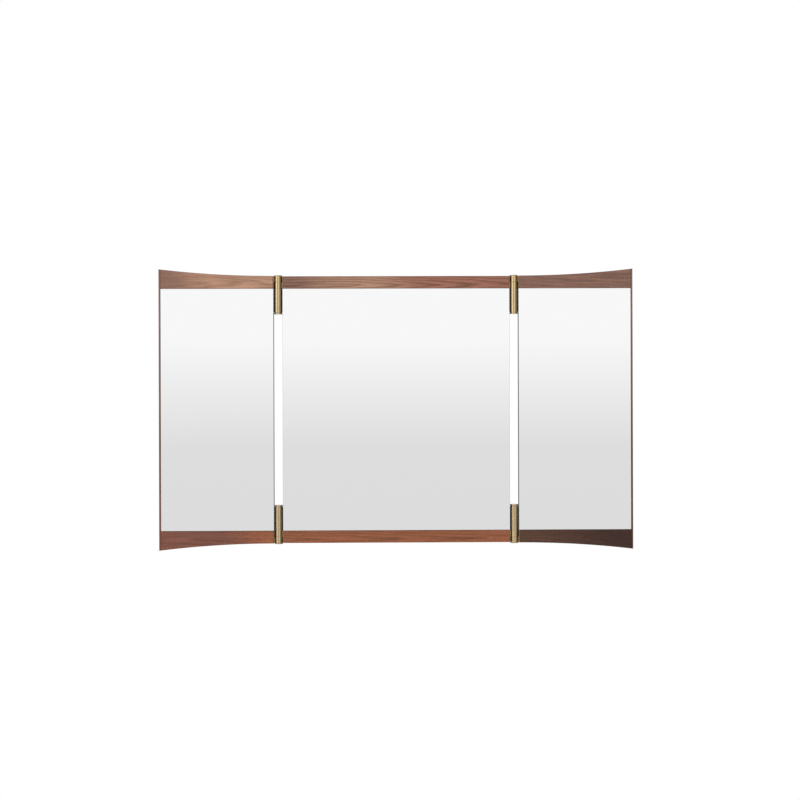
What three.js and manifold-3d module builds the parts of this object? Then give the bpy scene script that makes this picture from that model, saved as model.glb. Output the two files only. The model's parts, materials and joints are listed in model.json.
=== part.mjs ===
// A three-panel folding wall mirror: a fixed centre panel that hangs on a wall cleat, and two wings that
// turn forward on four friction barrel hinges.
//
// Millimetres. X runs to the right, Y back to the wall, Z up, and the glass faces -Y. The origin is the
// centre of the wall cleat's back face, on the wall.

import * as THREE from 'three';
import { mergeVertices } from 'three/addons/utils/BufferGeometryUtils.js';
import Module from 'manifold-3d';

// Overall
const HINGE_SPACING = 590;         // between the two hinge axes
const AXIS_TO_OUTER_EDGE = 297;    // from a hinge axis to the outer edge of its wing
const SIGHT_HEIGHT = 605;          // glass seen between the rails
const PANEL_DROP = 225;            // from the origin down to the middle of the panels
const WALL_GAP = 8;                // from the wall to the backs of the rails
const FIT = 0.3;                   // gap between pieces that touch

// Rails, glass and boards
const RAIL_DEPTH = 22;
const CENTER_RAIL_HEIGHT = 30.5;
const WING_RAIL_HEIGHT = 31.5;     // at the hinge end
const WING_ARC_RADIUS = 2400;      // the wing rails' outer edges, level at the hinge end
const WING_ARC_STEPS = 24;
const RAIL_PROUD = 2;              // the rails stand this far in front of the glass
const GLASS_THICKNESS = 4;
const BOARD_THICKNESS = 15;
const REBATE_HEIGHT = 10;          // the board reaches this far up behind each rail
const OUTER_STRIP_WIDTH = 4;
const EDGE_BAND_THICKNESS = 1.25;
const GLASS_TO_AXIS = 11.25;       // from a hinge axis to the edge of the glass

// Barrel hinges, measured along the axis from the rail's glass-side edge, outwards
const BARREL_RADIUS = 10.5;
const PIN_RADIUS = 5;
const SLEEVE_REACH = 64;           // how far the barrel runs on over the gap between the panels
const SLEEVE_WALL = 1.5;
const CENTER_KNUCKLE_TOP = 15.5;
const WASHER_THICKNESS = 1;
const WING_KNUCKLE_TOP = 30.9;
const PIN_HEAD_THICKNESS = 2;
const PIN_END = -25;
const SPIGOT_LENGTH = 6;           // the part of the centre knuckle that the sleeve slides over
const DISC_SPRING_COUNT = 4;
const DISC_SPRING_PITCH = 2;
const DISC_SPRING_THICKNESS = 0.9;
const NUT_HEIGHT = 6;
const NUT_RADIUS = 7.4;            // across its corners
const CAP_THICKNESS = 2.4;
const CAP_GROOVE_WIDTH = 1.8;
const CAP_GROOVE_DEPTH = 1.2;
const CAP_PLUG_LENGTH = 6;
const PLATE_THICKNESS = 1.7;
const PLATE_SETBACK = 1;           // from the rail's front to the end plate's front
const WEB_HALF_WIDTH = 6;          // joins a knuckle to its end plate
const FLANGE_THICKNESS = 2;
const FLANGE_REACH = 56;           // from the axis
const FLANGE_LOW = 12;
const FLANGE_HIGH = 28;
const LEAF_SCREW_OFFSETS = [28, 46];
const LEAF_HOLE_RADIUS = 2;
const COUNTERSINK_RADIUS = 4;

// Hanging hardware
const CLEAT_SHEET = 2;
const CLEAT_FLANGE_HEIGHT = 25;
const CLEAT_HOOK_HEIGHT = 14;
const WALL_CLEAT_LENGTH = 380;
const MIRROR_CLEAT_LENGTH = 420;
const WALL_HOLE_OFFSETS = [-160, -60, 60, 160];
const WALL_HOLE_RADIUS = 2.75;
const CLEAT_SCREWS = { left: -160, middle: 0, right: 160 };
const CLEAT_SCREW_RADIUS = 1.9;
const CLEAT_SCREW_LENGTH = 14;
const SCREW_HEAD_RADIUS = 4;
const SCREW_HEAD_HEIGHT = 2.2;
const SCREW_CROWN_RADIUS = 2.8;
const BUMPER_RADIUS = 10;
const BUMPER_TIP_RADIUS = 8.5;
const BUMPER_X = 240;
const BUMPER_ABOVE_SIGHT_EDGE = 30;

// Segments around a circle
const BARREL_SEGMENTS = 32;
const SMALL_SEGMENTS = 20;
const HEXAGON = 6;

// How far a cutter reaches past the face that it starts from
const OVERSHOOT = 1;

// Places along Y
const RAIL_BACK = -WALL_GAP;
const RAIL_FRONT = RAIL_BACK - RAIL_DEPTH;
const GLASS_FRONT = RAIL_FRONT + RAIL_PROUD;
const GLASS_BACK = GLASS_FRONT + GLASS_THICKNESS;
const BOARD_FRONT = GLASS_BACK + FIT;
const BOARD_BACK = BOARD_FRONT + BOARD_THICKNESS;
const AXIS_Y = (RAIL_FRONT + RAIL_BACK) / 2;

// Distances from a hinge axis, and heights from the middle of the panels
const PLATE_INNER = BARREL_RADIUS + FIT;
const PLATE_OUTER = PLATE_INNER + PLATE_THICKNESS;
const RAIL_END = PLATE_OUTER + FIT;
const BOARD_EDGE = RAIL_END;
const STRIP_INNER = AXIS_TO_OUTER_EDGE - OUTER_STRIP_WIDTH;
const SIGHT_HALF = SIGHT_HEIGHT / 2;
const BOARD_HALF = SIGHT_HALF + REBATE_HEIGHT - FIT;
const BORE_RADIUS = PIN_RADIUS + FIT;
const SLEEVE_BORE = BARREL_RADIUS - SLEEVE_WALL;
const SPRING_TOP = -SPIGOT_LENGTH - FIT;
const SPRING_BOTTOM = SPRING_TOP - DISC_SPRING_COUNT * DISC_SPRING_PITCH - DISC_SPRING_THICKNESS;
const SLEEVE_LOW = -SLEEVE_REACH + CAP_THICKNESS + CAP_GROOVE_WIDTH;

function material(color, roughness, metalness) {
  return new THREE.MeshStandardMaterial({ color, roughness, metalness });
}

const MATERIALS = {
  walnut: material(0x8f5f4a, 0.5, 0),
  mirror: material(0xe6e8e8, 0.03, 1),
  board: material(0x3a3431, 0.8, 0),
  brass: material(0xc4ab74, 0.35, 1),
  steel: material(0x9a9c9e, 0.35, 1),
  aluminium: material(0xc4c6c8, 0.4, 1),
  bronze: material(0xa9835a, 0.4, 1),
  rubber: material(0x2a2a2a, 0.9, 0),
};

const wasm = await Module();
wasm.setup();

// ---- helpers ----

function named(name, geometry, materialName) {
  const mesh = new THREE.Mesh(geometry, MATERIALS[materialName]);
  mesh.name = name;
  return mesh;
}

// A box between two limits along each axis.
function block([x0, x1], [y0, y1], [z0, z1]) {
  const geometry = new THREE.BoxGeometry(x1 - x0, y1 - y0, z1 - z0);
  return geometry.translate((x0 + x1) / 2, (y0 + y1) / 2, (z0 + z1) / 2);
}

// An outline in X and Z, given its thickness along Y.
function slab(points, [y0, y1]) {
  const shape = new THREE.Shape(points.map(([x, z]) => new THREE.Vector2(x, z)));
  const geometry = new THREE.ExtrudeGeometry(shape, { depth: y1 - y0, bevelEnabled: false });
  return geometry.rotateX(Math.PI / 2).translate(0, y1, 0);
}

// An outline in Y and Z, drawn out along X and centred on it.
function bar(points, length) {
  const shape = new THREE.Shape(points.map(([y, z]) => new THREE.Vector2(y, z)));
  const geometry = new THREE.ExtrudeGeometry(shape, { depth: length, bevelEnabled: false });
  const turn = new THREE.Matrix4().makeBasis(
    new THREE.Vector3(0, 1, 0), new THREE.Vector3(0, 0, 1), new THREE.Vector3(1, 0, 0));
  return geometry.applyMatrix4(turn).translate(-length / 2, 0, 0);
}

// An outline of radius and height, turned about Z. It runs up the outside, from the lowest point.
function turned(points, segments) {
  const profile = points.map(([radius, height]) => new THREE.Vector2(radius, height));
  return new THREE.LatheGeometry(profile, segments).rotateX(Math.PI / 2);
}

function cylinder(radius, [z0, z1], segments = BARREL_SEGMENTS) {
  return turned([[0, z0], [radius, z0], [radius, z1], [0, z1]], segments);
}

function ring(innerRadius, outerRadius, [z0, z1], segments = BARREL_SEGMENTS) {
  const corners = [[innerRadius, z0], [outerRadius, z0], [outerRadius, z1], [innerRadius, z1]];
  return turned([...corners, corners[0]], segments);
}

// A round cutter along Y, from y0 to y1, with a radius at each end.
function cutterAlongY(x, z, [y0, y1], radius0, radius1 = radius0) {
  const geometry = new THREE.CylinderGeometry(radius1, radius0, y1 - y0, SMALL_SEGMENTS);
  return geometry.translate(0, (y0 + y1) / 2, 0).translate(x, 0, z);
}

function toSolid(geometry) {
  const bare = geometry.clone();
  bare.deleteAttribute('normal');
  bare.deleteAttribute('uv');
  const merged = mergeVertices(bare, 1e-4);
  const vertProperties = merged.attributes.position.array;
  const triVerts = new Uint32Array(merged.index.array);
  return new wasm.Manifold(new wasm.Mesh({ numProp: 3, vertProperties, triVerts }));
}

function toGeometry(solid) {
  const { vertProperties, triVerts } = solid.getMesh();
  const geometry = new THREE.BufferGeometry();
  geometry.setAttribute('position', new THREE.BufferAttribute(vertProperties, 3));
  geometry.setIndex(new THREE.BufferAttribute(triVerts, 1));
  geometry.computeVertexNormals();
  return geometry;
}

// The added geometries as one solid, less the removed ones.
function carve(added, removed) {
  const whole = added.map(toSolid).reduce((sum, solid) => sum.add(solid));
  return toGeometry(removed.map(toSolid).reduce((rest, solid) => rest.subtract(solid), whole));
}

// ---- panels ----

// A board's thickness along Y, and a glass's.
const boardDepth = [BOARD_FRONT, BOARD_BACK];
const glassDepth = [GLASS_FRONT, GLASS_BACK];
const sightSpan = [-SIGHT_HALF + FIT, SIGHT_HALF - FIT];

// The centre rail's section is a step: full height in front, and a rebate for the board behind.
function centerRail() {
  const section = [
    [RAIL_FRONT, 0], [GLASS_BACK, 0], [GLASS_BACK, REBATE_HEIGHT],
    [RAIL_BACK, REBATE_HEIGHT], [RAIL_BACK, CENTER_RAIL_HEIGHT], [RAIL_FRONT, CENTER_RAIL_HEIGHT],
  ];
  return bar(section, HINGE_SPACING - 2 * RAIL_END).translate(0, 0, SIGHT_HALF);
}

function centerBoard() {
  const halfWidth = HINGE_SPACING / 2 - BOARD_EDGE;
  const board = block([-halfWidth, halfWidth], boardDepth, [-BOARD_HALF, BOARD_HALF]);
  const bottomOfHole = BOARD_BACK - CLEAT_SCREW_LENGTH;
  const pilots = Object.values(CLEAT_SCREWS).map((x) => cutterAlongY(
    x, cleatScrewHeight() + PANEL_DROP, [bottomOfHole, BOARD_BACK + OVERSHOOT], CLEAT_SCREW_RADIUS + FIT));
  return carve([board], pilots);
}

function centerPanel() {
  const panel = new THREE.Group();
  panel.position.z = -PANEL_DROP;
  const halfGlass = HINGE_SPACING / 2 - GLASS_TO_AXIS;
  const topRail = named('center_top_rail', centerRail(), 'walnut');
  const bottomRail = named('center_bottom_rail', centerRail(), 'walnut');
  bottomRail.scale.z = -1;
  const glass = block([-halfGlass, halfGlass], glassDepth, sightSpan);
  panel.add(
    topRail,
    bottomRail,
    named('center_back_board', centerBoard(), 'board'),
    named('center_mirror_glass', glass, 'mirror'),
  );
  for (const [name, side] of [['left', -1], ['right', 1]]) {
    const band = block([halfGlass - EDGE_BAND_THICKNESS, halfGlass], boardDepth, sightSpan);
    const mesh = named(`center_${name}_edge_band`, band, 'walnut');
    mesh.scale.x = side;
    panel.add(mesh);
  }
  return panel;
}

// Height of a wing's outer edge above the glass-side edge of its rail, at a distance from the axis.
function wingEdge(distance) {
  const along = distance - RAIL_END;
  return WING_RAIL_HEIGHT + WING_ARC_RADIUS - Math.sqrt(WING_ARC_RADIUS ** 2 - along ** 2);
}

// Points along the curved edge between two distances from the axis. The wing lies towards -X.
function wingEdgePoints(from, to, steps) {
  return Array.from({ length: steps + 1 }, (_, i) => {
    const distance = from + (to - from) * i / steps;
    return [-distance, SIGHT_HALF + wingEdge(distance)];
  });
}

function wingRail() {
  const outerEnd = STRIP_INNER - FIT;
  const outline = [
    [-outerEnd, SIGHT_HALF], [-RAIL_END, SIGHT_HALF], ...wingEdgePoints(RAIL_END, outerEnd, WING_ARC_STEPS),
  ];
  const rail = slab(outline, [RAIL_FRONT, RAIL_BACK]);
  const rebate = block([-outerEnd - OVERSHOOT, -RAIL_END + OVERSHOOT], [GLASS_BACK, RAIL_BACK + OVERSHOOT],
    [SIGHT_HALF - OVERSHOOT, SIGHT_HALF + REBATE_HEIGHT]);
  return carve([rail], [rebate]);
}

function wingOuterStrip() {
  const top = wingEdgePoints(STRIP_INNER, AXIS_TO_OUTER_EDGE, 2);
  const bottom = top.map(([x, z]) => [x, -z]).reverse();
  return slab([...top, ...bottom], [RAIL_FRONT, RAIL_BACK]);
}

// A wing in its own frame: the hinge axis is at X = 0 and the wing reaches towards -X.
function wing(name) {
  const panel = new THREE.Group();
  const outerEnd = STRIP_INNER - FIT;
  const topRail = named(`${name}_top_rail`, wingRail(), 'walnut');
  const bottomRail = named(`${name}_bottom_rail`, wingRail(), 'walnut');
  bottomRail.scale.z = -1;
  const board = block([-outerEnd, -BOARD_EDGE], boardDepth, [-BOARD_HALF, BOARD_HALF]);
  const glass = block([-outerEnd, -GLASS_TO_AXIS], glassDepth, sightSpan);
  const band = block([-GLASS_TO_AXIS - EDGE_BAND_THICKNESS, -GLASS_TO_AXIS], boardDepth, sightSpan);
  panel.add(
    topRail,
    bottomRail,
    named(`${name}_back_board`, board, 'board'),
    named(`${name}_mirror_glass`, glass, 'mirror'),
    named(`${name}_outer_edge_strip`, wingOuterStrip(), 'walnut'),
    named(`${name}_inner_edge_band`, band, 'walnut'),
  );
  return panel;
}

// ---- hinges ----
// A hinge in its own frame: Z is the axis, pointing outwards from the glass-side edge of the rails at
// Z = 0, and the centre panel lies towards +X. Y = 0 is the middle of the rails' depth.

const plateY = [-RAIL_DEPTH / 2 + PLATE_SETBACK, RAIL_DEPTH / 2 + FIT + FLANGE_THICKNESS];
const flangeY = [RAIL_DEPTH / 2 + FIT, RAIL_DEPTH / 2 + FIT + FLANGE_THICKNESS];

// A leaf towards +X: knuckle, web, end plate against the rail's end, and flange behind the rail.
function leaf(knuckleSpan, plateTop, extra = []) {
  const plate = block([PLATE_INNER, PLATE_OUTER], plateY, [0, plateTop]);
  const web = block([BORE_RADIUS, PLATE_OUTER], [-WEB_HALF_WIDTH, WEB_HALF_WIDTH], knuckleSpan);
  const flange = block([PLATE_INNER, FLANGE_REACH], flangeY, [FLANGE_LOW, FLANGE_HIGH]);
  const knuckle = cylinder(BARREL_RADIUS, knuckleSpan);
  const bore = cylinder(BORE_RADIUS, [-SPIGOT_LENGTH - OVERSHOOT, plateTop + OVERSHOOT],
    SMALL_SEGMENTS);
  const screwHeight = (FLANGE_LOW + FLANGE_HIGH) / 2;
  const holes = LEAF_SCREW_OFFSETS.map((x) => cutterAlongY(x, screwHeight, flangeY, LEAF_HOLE_RADIUS,
    COUNTERSINK_RADIUS));
  return carve([plate, web, flange, knuckle, ...extra], [bore, ...holes]);
}

function centerLeaf() {
  const spigot = cylinder(SLEEVE_BORE - FIT, [-SPIGOT_LENGTH, OVERSHOOT]);
  return leaf([0, CENTER_KNUCKLE_TOP], CENTER_RAIL_HEIGHT - FIT, [spigot]);
}

function wingLeaf() {
  const knuckleLow = CENTER_KNUCKLE_TOP + WASHER_THICKNESS + 2 * FIT;
  return leaf([knuckleLow, WING_KNUCKLE_TOP], WING_RAIL_HEIGHT - FIT);
}

function pin() {
  const headLow = WING_KNUCKLE_TOP + FIT;
  const headHigh = headLow + PIN_HEAD_THICKNESS;
  const chamfer = 0.5;
  return turned([
    [0, PIN_END], [PIN_RADIUS - chamfer, PIN_END], [PIN_RADIUS, PIN_END + chamfer], [PIN_RADIUS, headLow],
    [BARREL_RADIUS, headLow], [BARREL_RADIUS, headHigh - chamfer], [BARREL_RADIUS - chamfer, headHigh],
    [0, headHigh],
  ], BARREL_SEGMENTS);
}

function frictionWasher() {
  const low = CENTER_KNUCKLE_TOP + FIT;
  return ring(BORE_RADIUS, BARREL_RADIUS - FIT, [low, low + WASHER_THICKNESS], SMALL_SEGMENTS);
}

// Dished washers stacked rim to rim and bore to bore, as one springy column under the spigot.
function discSprings() {
  const rim = SLEEVE_BORE - 2 * FIT;
  const fold = (BORE_RADIUS + rim) / 2;
  const outside = [];
  const inside = [];
  for (let i = 0; i <= DISC_SPRING_COUNT; i++) {
    const radius = i % 2 === 0 ? rim : fold;
    const low = SPRING_BOTTOM + i * DISC_SPRING_PITCH;
    outside.push([radius, low], [radius, low + DISC_SPRING_THICKNESS]);
    inside.unshift([BORE_RADIUS, low + DISC_SPRING_THICKNESS], [BORE_RADIUS, low]);
  }
  return turned([...outside, ...inside, outside[0]], SMALL_SEGMENTS);
}

function lockNut() {
  const high = SPRING_BOTTOM - FIT;
  const low = high - NUT_HEIGHT;
  const body = cylinder(NUT_RADIUS, [low, high], HEXAGON);
  const bore = cylinder(BORE_RADIUS, [low - OVERSHOOT, high + OVERSHOOT], SMALL_SEGMENTS);
  return carve([body], [bore]);
}

function sleeve() {
  return ring(SLEEVE_BORE, BARREL_RADIUS, [SLEEVE_LOW + FIT, -FIT]);
}

function endCap() {
  const chamfer = 0.7;
  const grooveRadius = BARREL_RADIUS - CAP_GROOVE_DEPTH;
  const plugRadius = SLEEVE_BORE - FIT;
  return turned([
    [0, -SLEEVE_REACH], [BARREL_RADIUS - chamfer, -SLEEVE_REACH], [BARREL_RADIUS, -SLEEVE_REACH + chamfer],
    [BARREL_RADIUS, -SLEEVE_REACH + CAP_THICKNESS], [grooveRadius, -SLEEVE_REACH + CAP_THICKNESS],
    [grooveRadius, SLEEVE_LOW], [plugRadius, SLEEVE_LOW], [plugRadius, SLEEVE_LOW + CAP_PLUG_LENGTH],
    [0, SLEEVE_LOW + CAP_PLUG_LENGTH],
  ], BARREL_SEGMENTS);
}

function hinge(name) {
  const group = new THREE.Group();
  const wingSide = named(`${name}_wing_leaf`, wingLeaf(), 'brass');
  wingSide.scale.x = -1;
  group.add(
    wingSide,
    named(`${name}_center_leaf`, centerLeaf(), 'brass'),
    named(`${name}_pin`, pin(), 'brass'),
    named(`${name}_friction_washer`, frictionWasher(), 'bronze'),
    named(`${name}_disc_springs`, discSprings(), 'steel'),
    named(`${name}_lock_nut`, lockNut(), 'steel'),
    named(`${name}_sleeve`, sleeve(), 'brass'),
    named(`${name}_end_cap`, endCap(), 'brass'),
  );
  return group;
}

// ---- hanging hardware ----
// Both cleats are bent from sheet: a flange, a ledge and a hook. The mirror cleat's hook drops between
// the wall and the wall cleat's hook, and rests on the ledge.

const ledgeHeight = CLEAT_FLANGE_HEIGHT / 2;
const wallHookY = [-2 * CLEAT_SHEET - 2 * FIT, -CLEAT_SHEET - 2 * FIT];

function cleatScrewHeight() {
  return ledgeHeight + FIT + CLEAT_HOOK_HEIGHT + CLEAT_FLANGE_HEIGHT / 2;
}

function wallCleat() {
  const [hookFront, hookBack] = wallHookY;
  const hookTop = ledgeHeight + CLEAT_HOOK_HEIGHT - CLEAT_SHEET;
  const section = [
    [0, -ledgeHeight], [0, ledgeHeight], [hookBack, ledgeHeight], [hookBack, hookTop], [hookFront, hookTop],
    [hookFront, ledgeHeight - CLEAT_SHEET], [-CLEAT_SHEET, ledgeHeight - CLEAT_SHEET],
    [-CLEAT_SHEET, -ledgeHeight],
  ];
  const holes = WALL_HOLE_OFFSETS.map((x) => cutterAlongY(x, 0, [-CLEAT_SHEET - OVERSHOOT, OVERSHOOT],
    WALL_HOLE_RADIUS));
  return carve([bar(section, WALL_CLEAT_LENGTH)], holes);
}

function mirrorCleat() {
  const hookBack = -FIT;
  const hookFront = wallHookY[1] + FIT;
  const flangeBack = BOARD_BACK + FIT + CLEAT_SHEET;
  const flangeFront = BOARD_BACK + FIT;
  const bottom = ledgeHeight + FIT;
  const webHigh = bottom + CLEAT_HOOK_HEIGHT;
  const flangeTop = webHigh + CLEAT_FLANGE_HEIGHT;
  const section = [
    [hookBack, bottom], [hookBack, webHigh], [flangeBack, webHigh], [flangeBack, flangeTop],
    [flangeFront, flangeTop], [flangeFront, webHigh - CLEAT_SHEET], [hookFront, webHigh - CLEAT_SHEET],
    [hookFront, bottom],
  ];
  const holes = Object.values(CLEAT_SCREWS).map((x) => cutterAlongY(
    x, cleatScrewHeight(), [flangeFront - OVERSHOOT, flangeBack + OVERSHOOT], CLEAT_SCREW_RADIUS + FIT));
  return carve([bar(section, MIRROR_CLEAT_LENGTH)], holes);
}

// A pan-head screw about Z, its point down and the underside of its head at Z = 0.
function panHeadScrew() {
  const tip = -CLEAT_SCREW_LENGTH;
  const taper = 3;
  return turned([
    [0, tip], [CLEAT_SCREW_RADIUS, tip + taper], [CLEAT_SCREW_RADIUS, 0], [SCREW_HEAD_RADIUS, 0],
    [SCREW_HEAD_RADIUS, SCREW_HEAD_HEIGHT / 2], [SCREW_CROWN_RADIUS, SCREW_HEAD_HEIGHT],
    [0, SCREW_HEAD_HEIGHT],
  ], SMALL_SEGMENTS);
}

// A round foot about Z, from the board at Z = 0 to the wall.
function bumper() {
  const height = -BOARD_BACK - FIT;
  const edge = 1;
  return turned([
    [0, 0], [BUMPER_RADIUS, 0], [BUMPER_TIP_RADIUS, height - edge], [BUMPER_TIP_RADIUS - edge, height],
    [0, height],
  ], SMALL_SEGMENTS);
}

// Turns a piece made about Z to point back along Y, at a place on the back of the mirror.
function pointBack(mesh, x, y, z) {
  mesh.rotation.x = -Math.PI / 2;
  mesh.position.set(x, y, z);
  return mesh;
}

function hangingHardware() {
  const group = new THREE.Group();
  group.add(
    named('wall_cleat', wallCleat(), 'aluminium'),
    named('mirror_cleat', mirrorCleat(), 'aluminium'),
  );
  const headUnderside = BOARD_BACK + FIT + CLEAT_SHEET + FIT;
  for (const [name, x] of Object.entries(CLEAT_SCREWS)) {
    const screw = named(`cleat_screw_${name}`, panHeadScrew(), 'steel');
    group.add(pointBack(screw, x, headUnderside, cleatScrewHeight()));
  }
  const bumperHeight = -PANEL_DROP - SIGHT_HALF + BUMPER_ABOVE_SIGHT_EDGE;
  for (const [name, side] of [['left', -1], ['right', 1]]) {
    const foot = named(`bumper_${name}`, bumper(), 'rubber');
    group.add(pointBack(foot, side * BUMPER_X, BOARD_BACK + FIT, bumperHeight));
  }
  return group;
}

// ---- assembly ----

const mirror = new THREE.Group();
mirror.name = 'folding_wall_mirror';
mirror.add(centerPanel(), hangingHardware());

for (const [name, side] of [['left', -1], ['right', 1]]) {
  const panel = wing(`${name}_wing`);
  panel.position.set(side * HINGE_SPACING / 2, 0, -PANEL_DROP);
  panel.scale.x = -side;
  mirror.add(panel);

  for (const [row, level] of [['top', 1], ['bottom', -1]]) {
    const barrel = hinge(`hinge_${row}_${name}`);
    barrel.position.set(side * HINGE_SPACING / 2, AXIS_Y, -PANEL_DROP + level * SIGHT_HALF);
    barrel.scale.set(-side, 1, level);
    mirror.add(barrel);
  }
}

export default mirror;
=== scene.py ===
# %% [markdown]
# # A folding wall mirror in three panels
# The centre panel hangs on the wall, and a narrower wing turns forward on each side. Each wing hangs on
# two brass barrel hinges, which show as short columns above and below the glass. The measured model of
# the mirror, its frame, is loaded first. Every visible piece is then built to the frame's own sizes, and
# rides on one of its bodies, so that the wings carry their glass, wood and brass when they turn.

# %% Load the frame
import json
import math

import bmesh
import bpy
from mathutils import Matrix, Vector

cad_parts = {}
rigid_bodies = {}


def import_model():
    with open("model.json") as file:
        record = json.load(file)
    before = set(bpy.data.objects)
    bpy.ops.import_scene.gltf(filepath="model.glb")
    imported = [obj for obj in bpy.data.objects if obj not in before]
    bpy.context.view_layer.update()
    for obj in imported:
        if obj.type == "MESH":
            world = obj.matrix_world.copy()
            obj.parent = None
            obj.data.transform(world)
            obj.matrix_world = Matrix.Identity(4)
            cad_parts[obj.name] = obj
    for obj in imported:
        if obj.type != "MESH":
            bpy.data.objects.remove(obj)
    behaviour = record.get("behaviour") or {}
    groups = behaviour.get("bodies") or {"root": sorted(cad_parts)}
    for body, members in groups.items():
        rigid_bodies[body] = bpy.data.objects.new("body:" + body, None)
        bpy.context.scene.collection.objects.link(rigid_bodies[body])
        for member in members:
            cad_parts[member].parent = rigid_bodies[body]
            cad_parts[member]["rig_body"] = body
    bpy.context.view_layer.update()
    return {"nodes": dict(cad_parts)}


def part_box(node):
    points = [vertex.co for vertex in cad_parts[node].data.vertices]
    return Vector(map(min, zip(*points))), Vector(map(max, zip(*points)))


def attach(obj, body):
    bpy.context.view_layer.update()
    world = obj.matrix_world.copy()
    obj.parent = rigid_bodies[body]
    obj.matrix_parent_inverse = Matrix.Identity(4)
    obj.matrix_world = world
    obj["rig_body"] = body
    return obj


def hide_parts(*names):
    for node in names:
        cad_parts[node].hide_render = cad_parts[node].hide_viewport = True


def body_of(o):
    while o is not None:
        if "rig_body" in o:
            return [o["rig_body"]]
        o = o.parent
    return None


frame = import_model()
MM = 0.001
MERGE = 1e-7
SIDES = {"left": -1, "right": 1}
LEVELS = {"top": 1, "bottom": -1}
CENTER = "center_panel"

# %% [markdown]
# ## Camera
# The mirror is seen square on and from about three metres, so its outline is nearly a flat drawing. A
# 54 mm lens at that distance takes in two metres. The camera stands about three centimetres to the left
# of the middle and turns a little to the right, so the left wing looks a trace taller than the right one.

# %% Camera
VIEW_WIDTH = 1.998
LENS_MM = 54.0
ORBIT = math.radians(0.7)
ROLL = math.radians(-0.17)
AIM_RIGHT = 0.0091
AIM_UP = 0.0233
FAR_CLIP = 50.0
rail_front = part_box("center_top_rail")[0].y
glass_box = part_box("center_mirror_glass")
panel_middle = (glass_box[0].z + glass_box[1].z) / 2
aim = Vector((AIM_RIGHT, rail_front, panel_middle + AIM_UP))

camera_data = bpy.data.cameras.new("camera")
camera_data.lens = LENS_MM
camera_data.clip_end = FAR_CLIP
distance = VIEW_WIDTH * LENS_MM / camera_data.sensor_width
camera = bpy.data.objects.new("camera", camera_data)
bpy.context.collection.objects.link(camera)
camera.location = aim + Vector((-distance * math.sin(ORBIT), -distance * math.cos(ORBIT), 0))
turn = Matrix.Rotation(-ORBIT, 4, "Z") @ Matrix.Rotation(math.pi / 2, 4, "X")
camera.rotation_euler = (turn @ Matrix.Rotation(ROLL, 4, "Z")).to_euler()
bpy.context.scene.camera = camera
bpy.context.scene.view_settings.view_transform = "Standard"
print("camera", [round(c, 3) for c in camera.location], "distance", round(distance, 3))

# %% [markdown]
# ## Studio
# A mirror shows nothing but the room, so the room is most of its look. The world is a soft studio: plain
# white to the camera, and for reflections a bright upper half that falls off gently to a light grey
# lower half. That gives the glass its even, slightly darker foot. Near the horizon the sides are darker
# and hold two narrow bright panels, which draw the dark flanks and upright lines on the round brass.

# %% Node helpers
def link(tree, source, target):
    tree.links.new(source, target)


def node(tree, kind, **settings):
    made = tree.nodes.new(kind)
    for key, value in settings.items():
        setattr(made, key, value)
    return made


def ramp(tree, value, stops, mode="LINEAR"):
    """A Color Ramp with stops of (position, colour or grey)."""
    made = node(tree, "ShaderNodeValToRGB")
    made.color_ramp.interpolation = mode
    elements = made.color_ramp.elements
    while len(elements) < len(stops):
        elements.new(0.5)
    for element, (position, colour) in zip(elements, stops):
        element.position = position
        element.color = (*colour, 1) if isinstance(colour, tuple) else (colour, colour, colour, 1)
    link(tree, value, made.inputs["Fac"])
    return made.outputs["Color"]


def maths(tree, operation, *values):
    made = node(tree, "ShaderNodeMath", operation=operation)
    for socket, value in zip(made.inputs, values):
        if isinstance(value, bpy.types.NodeSocket):
            link(tree, value, socket)
        else:
            socket.default_value = value
    return made.outputs[0]


def spread(tree, value, low, high, to_low=0.0, to_high=1.0):
    made = node(tree, "ShaderNodeMapRange")
    link(tree, value, made.inputs["Value"])
    made.inputs["From Min"].default_value = low
    made.inputs["From Max"].default_value = high
    made.inputs["To Min"].default_value = to_low
    made.inputs["To Max"].default_value = to_high
    return made.outputs["Result"]


def blended(tree, mode, factor, a, b):
    """Two colours mixed; factor, a and b are sockets or values."""
    made = node(tree, "ShaderNodeMix", data_type="RGBA", blend_type=mode)
    for name, value in (("Factor", factor), ("A", a), ("B", b)):
        socket = [s for s in made.inputs if s.name == name and s.enabled][0]
        if isinstance(value, bpy.types.NodeSocket):
            link(tree, value, socket)
        else:
            socket.default_value = (*value, 1) if isinstance(value, tuple) else value
    return [s for s in made.outputs if s.enabled][0]


# %% World
world = bpy.data.worlds.new("studio")
bpy.context.scene.world = world
world.use_nodes = True
tree = world.node_tree
tree.nodes.clear()
coordinates = node(tree, "ShaderNodeTexCoord")
direction = node(tree, "ShaderNodeSeparateXYZ")
link(tree, coordinates.outputs["Generated"], direction.inputs[0])

GROUND_LIGHT = 0.70
LOWER_LIGHT = 0.775
UPPER_LIGHT = 1.0
CEILING_LIGHT = 0.55
# Each pair is the sine of the height above the horizon, and the light there.
HEIGHT_LIGHTS = [(-0.60, GROUND_LIGHT), (-0.04, LOWER_LIGHT), (0.05, UPPER_LIGHT), (0.25, UPPER_LIGHT),
                 (0.75, CEILING_LIGHT)]
height_light = ramp(tree, spread(tree, direction.outputs["Z"], -1, 1),
                    [((sine + 1) / 2, light) for sine, light in HEIGHT_LIGHTS])
backwards = maths(tree, "MULTIPLY", direction.outputs["Y"], -1.0)
azimuth = maths(tree, "ARCTAN2", direction.outputs["X"], backwards)

LEFT_PANEL = 3.9
RIGHT_PANEL = 2.20
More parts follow.
